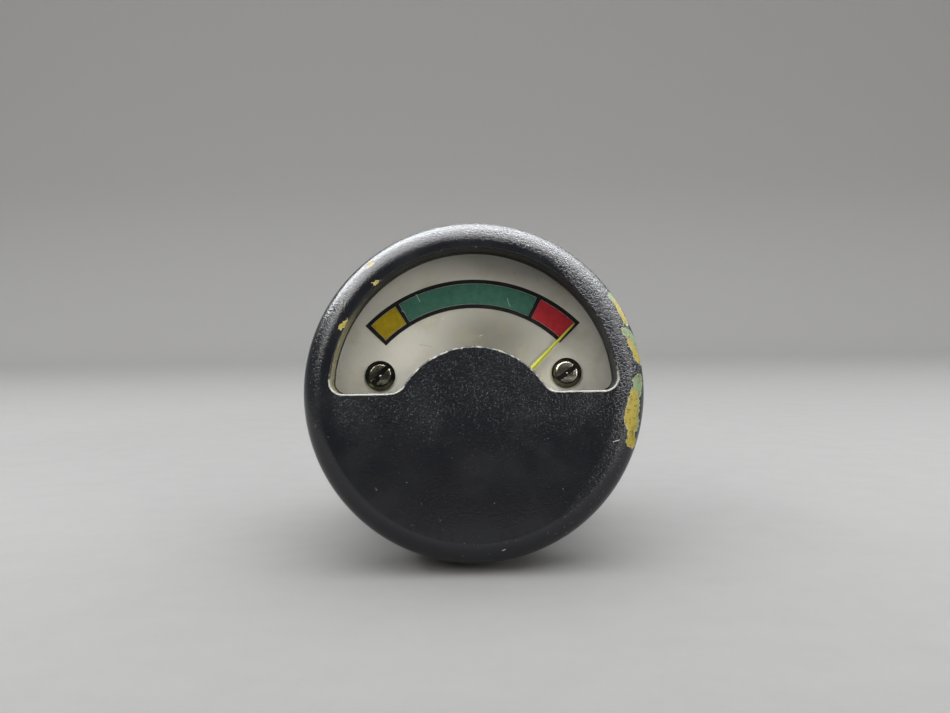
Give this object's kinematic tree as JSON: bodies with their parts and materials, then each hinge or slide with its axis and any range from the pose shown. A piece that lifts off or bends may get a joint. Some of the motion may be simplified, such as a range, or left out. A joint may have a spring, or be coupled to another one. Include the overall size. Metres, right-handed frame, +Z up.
{
  "type": "round panel temperature gauge",
  "caption": "Small round panel temperature gauge: black crinkle front with a sector window over a yellow, green and red band, jewelled moving-coil movement, barrel case and rear terminals.",
  "frame": {"origin": "on the case axis, in the panel plane that the back of the front cover seats on", "axes": "+Y along the case axis from the dial to the terminals, so the dial faces -Y; +Z up; +X to the right seen from the front"},
  "size_m": [0.0381, 0.0502, 0.038],
  "materials": {
    "cover_paint": "black crinkle paint over yellow-green primer",
    "case_paint": "satin black",
    "seal_rubber": "matt",
    "window_glass": "clear polished",
    "spring_steel": "blued, satin",
    "phenolic": "moulded, satin",
    "terminal_brass": "turned",
    "tinned_brass": "tin plated",
    "zinc_steel": "zinc plated",
    "plate_brass": "brushed",
    "dial_silver": "satin silvered",
    "ink_black": "printed, matt",
    "ink_yellow": "printed, matt",
    "ink_green": "printed, matt",
    "ink_red": "printed, matt",
    "dial_screw": "polished, domed",
    "screw_steel": "turned",
    "soft_iron": "ground",
    "magnet_alloy": "ground",
    "bridge_silver": "satin",
    "movement_brass": "turned",
    "jewel_ruby": "polished",
    "former_alu": "plain",
    "coil_copper": "enamelled wire",
    "pivot_steel": "polished",
    "pointer_lime": "lime yellow paint",
    "hairspring_bronze": "rolled strip",
    "resistance_wire": "enamelled wire",
    "wire_insulation": "smooth"
  },
  "bodies": {
    "case": {"front_cover": "cover_paint", "window_gasket": "seal_rubber", "window_glass": "window_glass", "glass_ring": "spring_steel", "case_body": "case_paint", "cover_seal": "seal_rubber", "rear_gasket": "seal_rubber", "rear_cover": "phenolic", "terminal_studs": "terminal_brass", "solder_lugs": "tinned_brass", "terminal_washers": "tinned_brass", "fixing_nuts": "terminal_brass", "lock_washers": "zinc_steel", "terminal_nuts": "terminal_brass", "chassis_plate": "plate_brass", "chassis_screws": "screw_steel", "dial_plate": "dial_silver", "band_outline": "ink_black", "band_yellow": "ink_yellow", "band_green": "ink_green", "band_red": "ink_red", "dial_spacers": "movement_brass", "dial_screws": "dial_screw", "pointer_stops": "screw_steel", "yoke_ring": "soft_iron", "core_magnet": "magnet_alloy", "core_blocks": "movement_brass", "yoke_posts": "movement_brass", "yoke_screws": "screw_steel", "front_bridge": "bridge_silver", "bridge_spacers": "movement_brass", "front_bridge_screws": "screw_steel", "front_jewel_screw": "movement_brass", "front_jewel": "jewel_ruby", "front_locknut": "movement_brass", "rear_bridge": "bridge_silver", "rear_bridge_posts": "movement_brass", "rear_bridge_screws": "screw_steel", "rear_jewel_screw": "movement_brass", "rear_jewel": "jewel_ruby", "rear_locknut": "movement_brass", "rear_spring_arm": "movement_brass", "front_hairspring": "hairspring_bronze", "rear_hairspring": "hairspring_bronze", "resistor_spool": "phenolic", "resistor_winding": "resistance_wire", "spool_screw": "screw_steel", "spool_nut": "movement_brass", "lead_wires": "wire_insulation"},
    "moving_element": {"coil_former": "former_alu", "coil_winding": "coil_copper", "front_pivot_base": "movement_brass", "rear_pivot_base": "movement_brass", "front_pivot": "pivot_steel", "rear_pivot": "pivot_steel", "pointer": "pointer_lime", "balance_arms": "movement_brass", "balance_weights": "movement_brass"},
    "zero_lever": {"zero_corrector": "movement_brass"}
  },
  "joints": [
    {"name": "pointer_swing", "type": "hinge", "parent": "case", "child": "moving_element", "pos_m": [0, 0, -0.00435], "axis": [0, 1, 0], "range_deg": [-93.3, 4.7], "stiffness_Nm_per_rad": 0.000004, "deforming": ["front_hairspring", "rear_hairspring"]},
    {"name": "zero_adjust", "type": "hinge", "parent": "case", "child": "zero_lever", "pos_m": [0, 0, -0.00435], "axis": [0, 1, 0], "range_deg": [-8, 8]}
  ]
}
